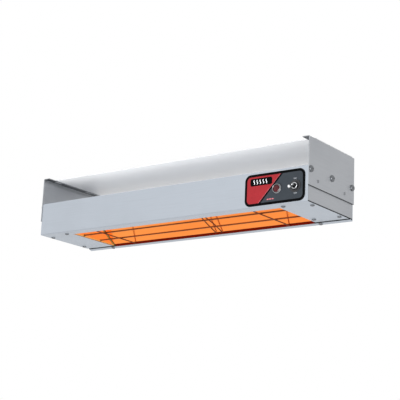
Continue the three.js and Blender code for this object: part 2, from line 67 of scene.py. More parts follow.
HOUSING_LOW, HOUSING_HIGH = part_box("front_pan")
LABEL_LOW, LABEL_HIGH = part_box("label_panel")
LABEL_FACE_Y = LABEL_LOW.y
SWITCH = middle("switch_nut")
LAMP = middle("lamp_ring")
GLAND = middle("cord_bushing")
ELEMENT = middle("element_sheath")
ELEMENT_LOW, ELEMENT_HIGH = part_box("element_sheath")
CHANNEL_LOW, CHANNEL_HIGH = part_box("rear_channel")
REFLECTOR_LOW, REFLECTOR_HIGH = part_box("reflector")
CAP_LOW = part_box("end_cap_right")[0]
BRACKET_LOW, BRACKET_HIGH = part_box("bracket_right")
SEAM_WIDTH = 4.4 * MM  # from the pan's rear edge to the hem of the rear lip
HEM_Y = HOUSING_HIGH.y + SEAM_WIDTH
LIP_SLOPE = math.atan2(HOUSING_LOW.z - CHANNEL_LOW.z, CHANNEL_HIGH.y - HEM_Y)
TROUGH_SLOPE = math.radians(34)
FRONT_FLANGE = 6 * MM  # flat edges of the reflector, in front of and behind its trough
REAR_FLANGE = 8 * MM
SIDES = {"left": -1, "right": 1}

# ---------------------------------------------------------------- mesh helpers


def link(obj, material, stands_for=(), body="housing"):
    """Adds a finished piece to the scene, riding on a CAD body."""
    bpy.context.scene.collection.objects.link(obj)
    obj.data.materials.clear()
    obj.data.materials.append(material)
    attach(obj, body)
    if stands_for:
        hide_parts(*stands_for)


def shade(mesh):
    """Smooth faces, with sharp edges kept where the surface turns by more than 35 degrees."""
    mesh.shade_smooth()
    mesh.set_sharp_from_angle(angle=math.radians(35))
    return mesh


def facing(direction, at=(0, 0, 0)):
    """Matrix that puts local +Z along a direction, with the origin at a point."""
    turn = Vector(direction).to_track_quat("Z", "Y")
    return Matrix.Translation(Vector(at)) @ turn.to_matrix().to_4x4()


def quarter_round(radius, base, rise, step=10):
    """Profile of a dome from its rim to just short of its top, in steps of some degrees."""
    angles = [math.radians(d) for d in range(0, 90, step)]
    return [(radius * math.cos(a), base + rise * math.sin(a)) for a in angles]


def lathe_mm(name, profile, segments):
    """Mesh turned about local Z from [radius, height] pairs in millimetres."""
    bm = bmesh.new()
    closed = profile[0] == profile[-1]
    points = profile[:-1] if closed else profile
    rings = []
    for radius, height in points:
        if radius == 0:
            rings.append([bm.verts.new((0, 0, height * MM))])
            continue
        ring = []
        for s in range(segments):
            a = 2 * math.pi * s / segments
            x, y = radius * math.cos(a), radius * math.sin(a)
            ring.append(bm.verts.new((x * MM, y * MM, height * MM)))
        rings.append(ring)
    pairs = list(zip(rings, rings[1:]))
    if closed:
        pairs.append((rings[-1], rings[0]))
    for low, high in pairs:
        for s in range(segments):
            t = (s + 1) % segments
            corners = [low[s % len(low)], low[t % len(low)], high[t % len(high)], high[s % len(high)]]
            unique = list(dict.fromkeys(corners))
            if len(unique) > 2:
                bm.faces.new(unique)
    bmesh.ops.recalc_face_normals(bm, faces=bm.faces)
    mesh = bpy.data.meshes.new(name)
    bm.to_mesh(mesh)
    bm.free()
    return shade(mesh)


def box_mesh_mm(name, size, centre, taper):
    """Box mesh whose lower face, at -Z, is scaled by taper."""
    bm = bmesh.new()
    bmesh.ops.create_cube(bm, size=1)
    for v in bm.verts:
        narrow = taper if v.co.z < 0 else 1
        v.co = Vector((v.co.x * size[0] * narrow, v.co.y * size[1] * narrow, v.co.z * size[2]))
        v.co = (v.co + Vector(centre)) * MM
    mesh = bpy.data.meshes.new(name)
    bm.to_mesh(mesh)
    bm.free()
    return mesh


def boolean(mesh, tools, operation="DIFFERENCE"):
    """Mesh cut by, or kept inside, the tool meshes."""
    work = bpy.data.objects.new("work", mesh)
    bpy.context.scene.collection.objects.link(work)
    helpers = []
    for tool in tools:
        helper = bpy.data.objects.new("tool", tool)
        bpy.context.scene.collection.objects.link(helper)
        modifier = work.modifiers.new("cut", "BOOLEAN")
        modifier.operation = operation
        modifier.solver = "EXACT"
        modifier.object = helper
        helpers.append(helper)
    evaluated = work.evaluated_get(bpy.context.evaluated_depsgraph_get())
    result = bpy.data.meshes.new_from_object(evaluated)
    for obj in [work, *helpers]:
        bpy.data.objects.remove(obj)
    return shade(result)


def wire_mm(name, points, radius, corner=0.0):
    """Round wire along points in metres; inner points are rounded by corner millimetres."""
    curve = bpy.data.curves.new(name, "CURVE")
    curve.dimensions = "3D"
    curve.bevel_depth = radius * MM
    curve.bevel_resolution = 6
    curve.use_fill_caps = True
    bend_steps = 6
    stops = [Vector(p) for p in points]
    path = [stops[0]]
    for before, here, after in zip(stops, stops[1:], stops[2:]):
        reach = min(corner * MM, (before - here).length * 0.45, (after - here).length * 0.45)
        start = here + (before - here).normalized() * reach
        stop = here + (after - here).normalized() * reach
        for k in range(bend_steps + 1):
            t = k / bend_steps
            path.append(start.lerp(here, t).lerp(here.lerp(stop, t), t))
    path.append(stops[-1])
    spline = curve.splines.new("POLY")
    spline.points.add(len(path) - 1)
    for point, place in zip(spline.points, path):
        point.co = (*place, 1)
    spline.use_smooth = True
    return curve


# ---------------------------------------------------------------- materials


class Nodes:
    """Small helper that builds one material's node tree."""

    def __init__(self, name):
        self.material = bpy.data.materials.new(name)
        self.material.use_nodes = True
        self.tree = self.material.node_tree
        self.shader = self.tree.nodes["Principled BSDF"]

    def add(self, kind, **settings):
        """Adds a node; each setting is one of its properties or one of its inputs."""
        node = self.tree.nodes.new(kind)
        for key, value in settings.items():
            if hasattr(node, key):
                setattr(node, key, value)
            else:
                node.inputs[key.replace("_", " ")].default_value = value
        return node

    def link(self, source, target):
        self.tree.links.new(source, target)

    def set(self, **values):
        """Sets uniform values straight on the shader."""
        for key, value in values.items():
            if isinstance(value, tuple) and len(value) == 3:
                value = (*value, 1)
            self.shader.inputs[key.replace("_", " ")].default_value = value

    def noise(self, scale, detail=4, roughness=0.55):
        """Noise in object space; scale is per metre along each axis."""
        where = self.add("ShaderNodeTexCoord")
        mapping = self.add("ShaderNodeMapping")
        mapping.inputs["Scale"].default_value = scale
        texture = self.add("ShaderNodeTexNoise", Scale=1.0, Detail=detail, Roughness=roughness)
        self.link(where.outputs["Object"], mapping.inputs["Vector"])
        self.link(mapping.outputs["Vector"], texture.inputs["Vector"])
        return texture.outputs["Fac"]

    def between(self, source, low, high, from_low=0.3, from_high=0.7):
        """Maps a value onto a range; a noise's values lie mostly between 0.3 and 0.7."""
        node = self.add("ShaderNodeMapRange")
        node.inputs["From Min"].default_value = from_low
        node.inputs["From Max"].default_value = from_high
        node.inputs["To Min"].default_value = low
        node.inputs["To Max"].default_value = high
        self.link(source, node.inputs["Value"])
        return node.outputs["Result"]

    def blend(self, factor, first, second):
        """Mixes two colours; either may be a colour or a socket."""
        mix = self.add("ShaderNodeMix", data_type="RGBA")
        self.link(factor, mix.inputs["Factor"])
        for socket, value in ((mix.inputs[6], first), (mix.inputs[7], second)):
            if isinstance(value, tuple):
                socket.default_value = (*value, 1)
            else:
                self.link(value, socket)
        return mix.outputs[2]

    def paint(self, tone):
        """Drives the base colour."""
        self.link(tone, self.shader.inputs["Base Color"])

    def roughen(self, source, low, high):
        """Drives the roughness from a noise value."""
        self.link(self.between(source, low, high), self.shader.inputs["Roughness"])

    def bump(self, height, strength, depth_mm):
        """Bumps the surface by a noise value, up to a depth in millimetres."""
        node = self.add("ShaderNodeBump", Strength=strength, Distance=depth_mm * MM)
        self.link(height, node.inputs["Height"])
        self.link(node.outputs["Normal"], self.shader.inputs["Normal"])

    def place(self, axis):
        """The object's own X, Y or Z at the shaded point."""
        where = self.add("ShaderNodeTexCoord")
        split = self.add("ShaderNodeSeparateXYZ")
        self.link(where.outputs["Object"], split.inputs["Vector"])
        return split.outputs[axis]

    def math(self, operation, first, second):
        """One math node; each side may be a socket or a number."""
        node = self.add("ShaderNodeMath", operation=operation)
        for socket, value in zip(node.inputs, (first, second)):
            if isinstance(value, (int, float)):
                socket.default_value = value
            else:
                self.link(value, socket)
        return node.outputs[0]

    def band(self, axis, low, high):
        """1 between two planes of the object's own space, 0 outside."""
        above = self.math("GREATER_THAN", self.place(axis), low)
        below = self.math("LESS_THAN", self.place(axis), high)
        return self.math("MULTIPLY", above, below)

    def tint(self, mask, colour):
        """Replaces the base colour by another where the mask is 1."""
        clean = self.shader.inputs["Base Color"].links[0].from_socket
        self.paint(self.blend(mask, clean, colour))


def darker(colour, share):
    """Colour scaled down to a share of itself."""
    return tuple(c * share for c in colour)


BLACK = (0, 0, 0)
ALUMINIUM = (0.53, 0.575, 0.635)
ALUMINIUM_DULL = (0.44, 0.475, 0.52)
END_TONE = {"colour": (0.46, 0.475, 0.5), "dull": (0.36, 0.375, 0.4)}
# pale tone of the plate's underside, painted light
PLATE_PAINTED_LIGHT_TONE = {"colour": (0.86, 0.86, 0.865), "dull": (0.8, 0.8, 0.81)}
# painted shade in the seam, reddened by a painted reflection of the element's glow
SEAM_SHADE_RED = (0.16, 0.012, 0.002)
# dark sheared edges, also used as painted shade in grooves, gaps and under flanges
SHEARED_EDGE_AND_SHADE = (0.05, 0.055, 0.06)
FLANGE_SHADOW = (0.16, 0.165, 0.17)
# painted shade on the reflector outside the trough, where the element's light doesn't reach
TROUGH_EDGE_SHADE = (0.06, 0.02, 0.008)


def brushed(name, grain, colour=ALUMINIUM, dull=ALUMINIUM_DULL, rough=(0.34, 0.5), metallic=1.0):
    """Satin brushed sheet: fine lines along the grain axis, faint cloudy handling marks."""
    n = Nodes(name)
    stretched = [1500.0, 1500.0, 1500.0]
    stretched["XYZ".index(grain)] = 14.0
    lines = n.noise(stretched, detail=5, roughness=0.65)
    clouds = n.noise((9, 9, 9), detail=3)
    tone = n.blend(n.between(clouds, 0.0, 0.35, 0.45, 0.75), colour, dull)
    n.paint(n.blend(n.between(lines, 0.0, 0.3, 0.5, 0.75), tone, dull))
    n.roughen(lines, *rough)
    n.set(Metallic=metallic)
    n.bump(lines, 0.25, 0.04)
    return n


def reflector_with_painted_glow(name, glow):
    """Rolled mirror sheet; its orange colour and its emission are a painted reflection of the element's
    glow in the trough.
    """
    n = Nodes(name)
    ripple = n.noise((30, 260, 260), detail=2)
    # The orange base colour, mottled by the second noise, is a painted reflection of the element's glow.
    warm = n.noise((5, 40, 40), detail=2)
    n.paint(n.blend(n.between(warm, 0, 1), (0.82, 0.24, 0.04), (0.88, 0.31, 0.065)))
    n.roughen(ripple, 0.1, 0.2)

    # The painted glow fades a little towards the switch end and up into the trough.
    height = n.place("Z")
    rim = REFLECTOR_LOW.z
    along = n.between(n.place("X"), 0, 1, REFLECTOR_LOW.x, REFLECTOR_HIGH.x)
    switch_end = (glow[0] * 0.82, glow[1] * 0.45, glow[2] * 0.6)
    glow_at_rim = n.blend(along, glow, switch_end)
    glow_here = n.blend(n.between(height, 0, 0.25, rim, REFLECTOR_HIGH.z), glow_at_rim, BLACK)

    # It stops at the trough's own profile, inside the front and rear flanges; outside it the sheet is
    # painted dark as painted shade, where the element's light doesn't reach.
    front = n.math("SUBTRACT", n.place("Y"), REFLECTOR_LOW.y + FRONT_FLANGE)
    rear = n.math("SUBTRACT", REFLECTOR_HIGH.y - REAR_FLANGE, n.place("Y"))
    roof = n.math("MULTIPLY", n.math("MINIMUM", front, rear), math.tan(TROUGH_SLOPE))
    depth = n.math("SUBTRACT", n.math("ADD", roof, rim + 1.5 * MM), height)
    inside = n.math("GREATER_THAN", depth, 0)
    n.link(n.blend(inside, BLACK, glow_here), n.shader.inputs["Emission Color"])
    n.tint(n.math("SUBTRACT", 1, inside), TROUGH_EDGE_SHADE)
    n.set(Metallic=1.0, Emission_Strength=0.32)
    n.bump(ripple, 0.12, 0.1)
    return n.material


def glowing_sheath():
    """Oxidised metal tube at working heat."""
    n = Nodes("glowing_sheath")
    scale = n.noise((120, 500, 500), detail=6)
    n.paint(n.blend(n.between(scale, 0, 1), (0.55, 0.1, 0.02), (0.9, 0.25, 0.06)))
    n.set(Metallic=0.2, Roughness=0.7, Emission_Color=(1.0, 0.24, 0.03), Emission_Strength=2.2)
    n.bump(scale, 0.4, 0.1)
    return n.material


def guard_wire():
    """Steel wire browned by heat, with a faint emission as a painted glow of the element's light."""
    n = Nodes("guard_wire")
    scale = n.noise((60, 60, 60), detail=4)
    n.paint(n.blend(n.between(scale, 0, 1), (0.1, 0.028, 0.01), (0.2, 0.07, 0.022)))
    n.roughen(scale, 0.35, 0.6)
    n.set(Metallic=0.8, Emission_Color=(1.0, 0.2, 0.02), Emission_Strength=0.03)
    n.bump(n.noise((900, 900, 900), detail=3), 0.2, 0.03)
    return n.material


def plated(name, colour, rough, grain=1800):
    """Bright or dull plating with a faint turned finish."""
    n = Nodes(name)
    fine = n.noise((grain, grain, grain / 6), detail=4)
    n.paint(n.blend(n.between(fine, 0, 0.4), colour, darker(colour, 0.7)))
    n.roughen(fine, *rough)
    n.set(Metallic=1.0)
    n.bump(fine, 0.15, 0.02)
    return n.material


def moulded(name, colour, rough=(0.42, 0.6), grain=1400, spread=0.25):
    """Moulded plastic or ceramic with a fine matt grain."""
    n = Nodes(name)
    fine = n.noise((grain, grain, grain), detail=3)
    cloudy = n.noise((60, 60, 60), detail=2)
    n.paint(n.blend(n.between(cloudy, 0, 1), colour, darker(colour, 1 - spread)))
    n.roughen(fine, *rough)
    n.bump(fine, 0.25, 0.04)
    return n.material


def printed(name, colour, gloss=0.15):
    """Printed polyester film with a fine matt texture."""
    n = Nodes(name)
    fine = n.noise((2600, 2600, 2600), detail=2)
    soft = n.noise((70, 70, 70), detail=2)
    n.paint(n.blend(n.between(soft, 0, 1), colour, darker(colour, 0.92)))
    n.roughen(fine, 0.45, 0.6)
    n.set(Specular_IOR_Level=gloss)
    n.bump(fine, 0.15, 0.02)
    return n.material


def red_lens():
    """Dark red moulded lens, unlit."""
    n = Nodes("red_lens")
    swirl = n.noise((500, 500, 500), detail=2)
    n.paint(n.blend(n.between(swirl, 0, 1), (0.034, 0.001, 0.0025), (0.058, 0.002, 0.005)))
    n.roughen(swirl, 0.06, 0.14)
    n.set(Specular_IOR_Level=0.25, Coat_Weight=0.25, Coat_Roughness=0.05)
    return n.material


def lead_sleeve():
    """Woven glass-fibre sleeving, its threads crossing in a fine check."""
    n = Nodes("lead_sleeve")
    where = n.add("ShaderNodeTexCoord")
    mapping = n.add("ShaderNodeMapping")
    mapping.inputs["Scale"].default_value = (900, 900, 900)
    weave = n.add("ShaderNodeTexChecker", Scale=1.0)
    n.link(where.outputs["Object"], mapping.inputs["Vector"])
    n.link(mapping.outputs["Vector"], weave.inputs["Vector"])
    fuzz = n.noise((2500, 2500, 2500), detail=3)
    n.paint(n.blend(fuzz, (0.72, 0.66, 0.52), (0.5, 0.45, 0.34)))
    n.set(Roughness=0.9)
    n.bump(weave.outputs["Fac"], 0.4, 0.12)
    return n.material


def bat_lever_plating():
    """Plated lever whose neck is painted dark as painted shade, so that its ball end stands out."""
    n = Nodes("bat_lever_plating")
    grain = n.noise((2500, 2500, 420), detail=4)
    bright = n.blend(n.between(grain, 0, 0.4), (0.86, 0.87, 0.88), (0.6, 0.61, 0.62))
    ball = n.between(n.place("Z"), 0, 1, 14.4 * MM, 15.6 * MM)
    n.paint(n.blend(ball, (0.03, 0.03, 0.032), bright))
    n.roughen(grain, 0.1, 0.2)
    n.set(Metallic=1.0)
    n.bump(grain, 0.15, 0.02)
    return n.material


FAR = 1.0  # beyond the object in any direction

pan = brushed("front_pan_sheet", "X")
# The pan's cut ends are painted dark near the foot: a sheared edge, and painted shade for the groove under
# the end cap.
pan_end = pan.math("GREATER_THAN", pan.math("ABSOLUTE", pan.place("X"), 0), HOUSING_HIGH.x - 0.1 * MM)
pan_foot = pan.band("Z", -FAR, HOUSING_LOW.z + 1.4 * MM)
pan.tint(pan.math("MULTIPLY", pan_end, pan_foot), SHEARED_EDGE_AND_SHADE)

cap_sheet = brushed("end_cap_sheet", "Y", **END_TONE)
# Painted shade: the cap's bottom flange and the start of its bend are painted dark for the shadow gap above
# the pan.
cap_sheet.tint(cap_sheet.band("Z", -FAR, CAP_LOW.z + 0.4 * MM), SHEARED_EDGE_AND_SHADE)

bracket_sheet = brushed("bracket_sheet", "Y", **END_TONE)
# The bracket's lower edge is painted dark: its sheared edge, and painted shade for the shadow line beneath
# it.
bracket_sheet.tint(bracket_sheet.band("Z", -FAR, BRACKET_LOW.z + 0.5 * MM), SHEARED_EDGE_AND_SHADE)
flange_under = bracket_sheet.band("Z", BRACKET_HIGH.z - 1.7 * MM, BRACKET_HIGH.z - 1.4 * MM)
bracket_sheet.tint(flange_under, FLANGE_SHADOW)

# The plate's underside keeps a pale tone as painted light, and its top is a darker grey with random dust.
plate = brushed("top_plate_sheet", "X", rough=(0.45, 0.6), metallic=0.35, **PLATE_PAINTED_LIGHT_TONE)
dust = plate.between(plate.noise((24, 24, 24), detail=5), 0, 1)
plate_top = plate.band("Z", -0.5 * MM, FAR)
plate.tint(plate_top, plate.blend(dust, (0.42, 0.44, 0.47), (0.34, 0.35, 0.37)))

channel = brushed("rear_channel_sheet", "X")
# The hem's face in the seam is painted dark as painted shade, and red along the trough as a painted
# reflection of the element's glow.
hem = channel.band("Y", HEM_Y - 0.1 * MM, HEM_Y + 1.5 * MM)
low_down = channel.band("Z", HOUSING_LOW.z - 0.8 * MM, HOUSING_LOW.z + 6 * MM)
hem_face = channel.math("MULTIPLY", hem, low_down)
in_glow_span = channel.band("X", REFLECTOR_LOW.x, REFLECTOR_HIGH.x)
channel.tint(hem_face, SHEARED_EDGE_AND_SHADE)
channel.tint(channel.math("MULTIPLY", hem_face, in_glow_span), SEAM_SHADE_RED)

mirror_look = reflector_with_painted_glow("polished_trough", (1.0, 0.235, 0.044))
mirror_end_look = reflector_with_painted_glow("polished_end", (0.8, 0.52, 0.13))
sheath_look = glowing_sheath()
wire_look = guard_wire()
steel_look = plated("fastener_steel", (0.22, 0.23, 0.245), (0.25, 0.42))
rivet_look = plated("rivet_aluminium", (0.3, 0.31, 0.33), (0.4, 0.55))
lever_look = bat_lever_plating()
satin_chrome = plated("satin_chrome", (0.6, 0.61, 0.62), (0.22, 0.3), 2500)
nut_look = plated("blackened_nut", (0.07, 0.07, 0.075), (0.3, 0.45))
brass_look = plated("contact_brass", (0.7, 0.5, 0.2), (0.25, 0.4))
ceramic_look = moulded("ceramic", (0.82, 0.78, 0.7), (0.55, 0.75), 900, 0.12)
black_look = moulded("black_plastic", (0.018, 0.018, 0.02))
lens_look = red_lens()
sleeve_look = lead_sleeve()
film_black = printed("film_black", (0.0015, 0.0018, 0.002), gloss=0.03)
film_red = printed("film_red", (0.225, 0.0135, 0.018))
film_grey = printed("film_grey", (0.026, 0.0315, 0.038))
film_pink = printed("film_pink", (0.42, 0.12, 0.14))
film_white = printed("film_white", (0.66, 0.67, 0.7))
film_words = printed("film_words", (0.24, 0.25, 0.27))

CAD_LOOKS = {
    "front_pan": pan.material,
    "rear_channel": channel.material,
    "top_plate": plate.material,
    "end_cap_left": cap_sheet.material,
    "end_cap_right": cap_sheet.material,
    "bracket_left": bracket_sheet.material,
    "bracket_right": bracket_sheet.material,
    "reflector": mirror_look,
    "reflector_end_left": mirror_end_look,
    "reflector_end_right": mirror_end_look,
    "switch_body": black_look,
    "switch_rocker": brass_look,
    "switch_blade_line": brass_look,
    "switch_blade_load": brass_look,
    "lamp_body": black_look,
    "lamp_nut": black_look,
    "terminal_block": ceramic_look,
}
CAD_LOOKS.update((name, sleeve_look) for name in nodes if name.startswith("lead_"))
for name, look in CAD_LOOKS.items():
    nodes[name].data.materials.clear()
    nodes[name].data.materials.append(look)

# ---------------------------------------------------------------- fasteners


def screw_mesh(name, head, height, length, shank):
    """Truss head screw with a cross recess, seated at local Z = 0."""
    dome = quarter_round(head, height * 0.18, height * 0.82, 9)
    profile = [(0, -length), (shank * 0.8, -length), (shank, -length + 0.8), (shank, 0), (head * 0.97, 0)]
    profile += [*dome, (0, height)]
    recess = head * 0.42
    arms = [
        box_mesh_mm("arm", (recess * 2, recess * 0.34, height), (0, 0, height * 0.95), 0.6),
        box_mesh_mm("arm", (recess * 0.34, recess * 2, height), (0, 0, height * 0.95), 0.6),
    ]
    return boolean(lathe_mm(name, profile, 40), arms)


bracket_screw = screw_mesh("bracket_screw", 5.85, 3.8, 9, 2)
base_screw = screw_mesh("base_screw", 3.9, 2.1, 7, 1.8)
lip_screw = screw_mesh("lip_screw", 3.9, 2.1, 2.6, 1.8)
rivet_profile = [(0, -5), (1.6, -5), (1.6, 0), *quarter_round(2.8, 0, 1.2), (0, 1.2)]
rivet = lathe_mm("rivet", rivet_profile, 32)

# By the start of its name: a fastener's mesh, look, slot and the height of its CAD head in millimetres.
FASTENERS = {
    "bracket_screw": (bracket_screw, steel_look, "fastener_steel", 3.9),
    "rivet": (rivet, rivet_look, "brushed_aluminium", 1.2),
    "base_screw_lip": (lip_screw, steel_look, "fastener_steel", 2.2),
    "base_screw": (base_screw, steel_look, "fastener_steel", 2.2),
}


def seat(name, tall):
    """Point where a fastener's head sits, and the way its head faces."""
    low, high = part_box(name)
    centre = (low + high) / 2
    if not name.startswith("base_screw"):
        way = Vector((math.copysign(1, centre.x), 0, 0))
        top = high.x if way.x > 0 else low.x
        return Vector((top - way.x * tall * MM, centre.y, centre.z)), way
    if not name.startswith("base_screw_lip"):
        return Vector((centre.x, centre.y, low.z + tall * MM)), Vector((0, 0, -1))
    way = Vector((0, -math.sin(LIP_SLOPE), -math.cos(LIP_SLOPE)))
    y = (HEM_Y + CHANNEL_HIGH.y) / 2
    on_lip = Vector((centre.x, y, HOUSING_LOW.z - math.tan(LIP_SLOPE) * (y - HEM_Y)))
    return on_lip + way * 0.1 * MM, way


for name in [n for n in nodes if n.startswith(tuple(FASTENERS))]:
    mesh, look, slot, tall = next(row for start, row in FASTENERS.items() if name.startswith(start))
    at, way = seat(name, tall)
    centre = middle(name)
    turned = Matrix.Rotation(centre.x * 40 + centre.y * 30, 4, "Z")  # no two recesses line up
    piece = bpy.data.objects.new(name + "_look", mesh.copy())
    piece.matrix_world = facing(way, at) @ turned
    link(piece, look, [name])

# ---------------------------------------------------------------- element and guard


THREAD_STEP = 0.4


def stand_in(name, data, node, look, matrix=None, body="housing"):
    """A detailed piece that replaces one CAD node."""
    piece = bpy.data.objects.new(name, data)
    if matrix is not None:
        piece.matrix_world = matrix
    link(piece, look, [node], body)


tube_length = (ELEMENT_HIGH.x - ELEMENT_LOW.x) / MM
sheath = [(0, 0), (4.3, 0), (4.75, 0.5), (4.75, tube_length - 0.5), (4.3, tube_length), (0, tube_length)]
stand_in("element_tube", lathe_mm("element_tube", sheath, 40), "element_sheath", sheath_look,
         facing((1, 0, 0), (ELEMENT_LOW.x, ELEMENT.y, ELEMENT.z)))
collar = [
    (4.85, 0), (9.0, 0), (9.6, 0.6), (9.6, 1.9), (9.0, 2.5),
    (7.4, 2.5), (7.4, 8.5), (6.9, 9), (4.85, 9), (4.85, 0),
]
stud = [(0, 0), (2, 0), (2, 3), (4.0, 3), (4.2, 3.3), (4.2, 5.1), (4.0, 5.4)]
stud += [(2.0 if k % 2 else 1.7, 5.4 + k * THREAD_STEP) for k in range(16)]
stud += [(1.4, 12), (0, 12)]
for side, sign in SIDES.items():
    for piece_name, profile, segments, node, look, slot in (
        ("element_collar", collar, 40, "element_bushing", ceramic_look, "ceramic"),
        ("element_terminal", stud, 24, "element_stud", steel_look, "fastener_steel"),
    ):
        low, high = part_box(f"{node}_{side}")
        inner = low.x if sign > 0 else high.x
        stand_in(f"{piece_name}_{side}", lathe_mm(piece_name, profile, segments), f"{node}_{side}",
                 look, facing((sign, 0, 0), (inner, ELEMENT.y, ELEMENT.z)))

RAIL_SWELL = 1.1  # the rails look a little heavier than their CAD rods
for end in ("front", "rear"):
    low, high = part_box(f"guard_rail_{end}")
    y, z, radius = (low.y + high.y) / 2, (low.z + high.z) / 2, (high.z - low.z) / 2 / MM
    rail = wire_mm(f"rail_{end}", [(low.x, y, z), (high.x, y, z)], radius * RAIL_SWELL)
    stand_in(f"rail_{end}", rail, f"guard_rail_{end}", wire_look)
for side in SIDES:
    low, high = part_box(f"guard_cross_{side}")
    x, radius = (low.x + high.x) / 2, (high.x - low.x) / 2
    top, bottom = high.z - radius, low.z + radius
    points = [
        (x, low.y, top),
        (x, low.y + 4.5 * MM, top),
        (x, low.y + 8.5 * MM, bottom),
        (x, high.y, bottom),
    ]
    cross = wire_mm(f"cross_{side}", points, radius / MM, 2)
    stand_in(f"cross_{side}", cross, f"guard_cross_{side}", wire_look)

# Right half of the cradle as (sideways, back, down) from the element's middle, in millimetres.
CRADLE_HALF = [(7, 62.6, 25.6), (7, 36, 16), (3.8, 8, 7), (0, -8, 7)]
cradle_x = middle("element_cradle").x
bends = CRADLE_HALF + [(-aside, back, drop) for aside, back, drop in reversed(CRADLE_HALF[:-1])]
points = []
for aside, back, drop in bends:
    points.append((cradle_x + aside * MM, ELEMENT.y + back * MM, ELEMENT.z - drop * MM))
stand_in("cradle_wire", wire_mm("cradle_wire", points, 1.1, 6), "element_cradle", wire_look)

# ---------------------------------------------------------------- name panel


def outline_mm(name, loops, depth, look, lift, stands_for=()):
    """Thin printed piece on the label: loops of (x, z) in metres, depth and lift in millimetres."""
    curve = bpy.data.curves.new(name, "CURVE")
    curve.dimensions = "2D"
    curve.fill_mode = "BOTH"
    curve.extrude = depth / 2 * MM
    for loop in loops:
        spline = curve.splines.new("POLY")
        spline.points.add(len(loop) - 1)
        spline.use_cyclic_u = True
        for point, (x, z) in zip(spline.points, loop):
            point.co = (x, z, 0, 1)
    work = bpy.data.objects.new(name, curve)
    bpy.context.scene.collection.objects.link(work)
    evaluated = work.evaluated_get(bpy.context.evaluated_depsgraph_get())
    mesh = bpy.data.meshes.new_from_object(evaluated)
    bpy.data.objects.remove(work)
    piece = bpy.data.objects.new(name, mesh)
    piece.matrix_world = Matrix.Translation((0, LABEL_FACE_Y + (depth / 2 - lift) * MM, 0)) @ UPRIGHT
    link(piece, look, stands_for)


def arc(cx, cz, radius, start, stop, steps=8):
    """Points of an arc, angles in degrees."""
    angles = [math.radians(start + (stop - start) * k / steps) for k in range(steps + 1)]
    return [(cx + radius * math.cos(a), cz + radius * math.sin(a)) for a in angles]


def rounded(x0, z0, x1, z1, r):
    """Outline of a rectangle with round corners."""
    return [
        *arc(x1 - r, z1 - r, r, 0, 90),
        *arc(x0 + r, z1 - r, r, 90, 180),
        *arc(x0 + r, z0 + r, r, 180, 270),
        *arc(x1 - r, z0 + r, r, 270, 360),
    ]


def circle(centre, radius):
    """Outline of a hole, run the other way round than the panel's."""
    return arc(centre.x, centre.z, radius * MM, 360, 0, 40)[:-1]


FILM = 0.06  # depth of the coloured panels, in millimetres
INK = 0.04  # depth of the print on top of them
WAVE_LIFT = 0.05
LABEL_RADIUS = 11.5 * MM
BORDER = 4.6 * MM
INNER_RADIUS = 7 * MM
LEAN = 44 * MM  # how far the red part's slanted side runs sideways
STRIPE = 4.4 * MM
EDGE_HIGHLIGHT_WIDTH = 0.6 * MM

x0, z0, x1, z1 = LABEL_LOW.x, LABEL_LOW.z, LABEL_HIGH.x, LABEL_HIGH.z
holes = [circle(SWITCH, 6.3), circle(LAMP, 6.5)]
base = [rounded(x0, z0, x1, z1, LABEL_RADIUS), *holes]
outline_mm("label_base", base, 0.42, film_black, -0.08, ["label_panel"])
left, right, low_z, high_z = x0 + BORDER, x1 - BORDER, z0 + BORDER, z1 - BORDER
r = INNER_RADIUS
foot = x0 + 28.5 * MM
red = [
    (foot + LEAN, high_z),
    *arc(left + r, high_z - r, r, 90, 180),
    *arc(left + r, low_z + r, r, 180, 270),
    (foot, low_z),
]
outline_mm("label_red", [red], FILM, film_red, -FILM / 2)
grey = [
    (foot + STRIPE, low_z),
    *arc(right - r, low_z + r, r, 270, 360),
    *arc(right - r, high_z - r, r, 0, 90),
    (foot + LEAN + STRIPE, high_z),
]
outline_mm("label_grey", [grey, *holes], FILM, film_grey, -FILM / 2)
# A pale pink line along the red part's slanted side is a painted highlight on the embossed edge.
edge_highlight = [
    (foot, low_z),
    (foot + LEAN, high_z),
    (foot + LEAN - EDGE_HIGHLIGHT_WIDTH, high_z),
    (foot - EDGE_HIGHLIGHT_WIDTH, low_z),
]
outline_mm("label_edge_highlight", [edge_highlight], INK, film_pink, INK / 2)
badge = (x0 + 11 * MM, high_z - 16.2 * MM, x0 + 55.5 * MM, high_z - 2.9 * MM)
outline_mm("label_badge", [rounded(*badge, 3.4 * MM)], INK, film_black, INK / 2)


def wave(x, z, height, swing, width):
    """Outline of one upright heat wave."""
    steps = 16
    side = []
    for k in range(steps + 1):
        t = k / steps
        side.append((x + swing * math.sin(2 * math.pi * t), z + height * (t - 0.5)))
    return [(px - width / 2, pz) for px, pz in side] + [(px + width / 2, pz) for px, pz in reversed(side)]


badge_z = (badge[1] + badge[3]) / 2
waves = [wave(badge[0] + (8 + 6.2 * k) * MM, badge_z, 7.6 * MM, 0.9 * MM, 1.5 * MM) for k in range(5)]
outline_mm("label_waves", waves, INK, film_white, WAVE_LIFT)
dashes = []
for k in range(3):
    start = foot + (17 + 5 * k) * MM
    dashes.append(rounded(start, z0 + 8.4 * MM, start + 3.8 * MM, z0 + 10.4 * MM, 0.3 * MM))
outline_mm("label_dashes", dashes, INK, film_pink, INK / 2)


def word(text, x, z, height):
    """A short generic word in the default font, with capitals of some height in millimetres."""
    size_for_capitals = 1.42
    font = bpy.data.curves.new("switch_word_" + text.lower(), "FONT")
    font.body = text
    font.size = height * size_for_capitals * MM
    font.align_x = "CENTER"
    font.align_y = "CENTER"
    font.extrude = 0.02 * MM
    font.offset = 0.08 * MM
    piece = bpy.data.objects.new("switch_word_" + text.lower(), font)
    piece.matrix_world = Matrix.Translation((x, LABEL_FACE_Y - 0.02 * MM, z)) @ UPRIGHT
    link(piece, film_words)


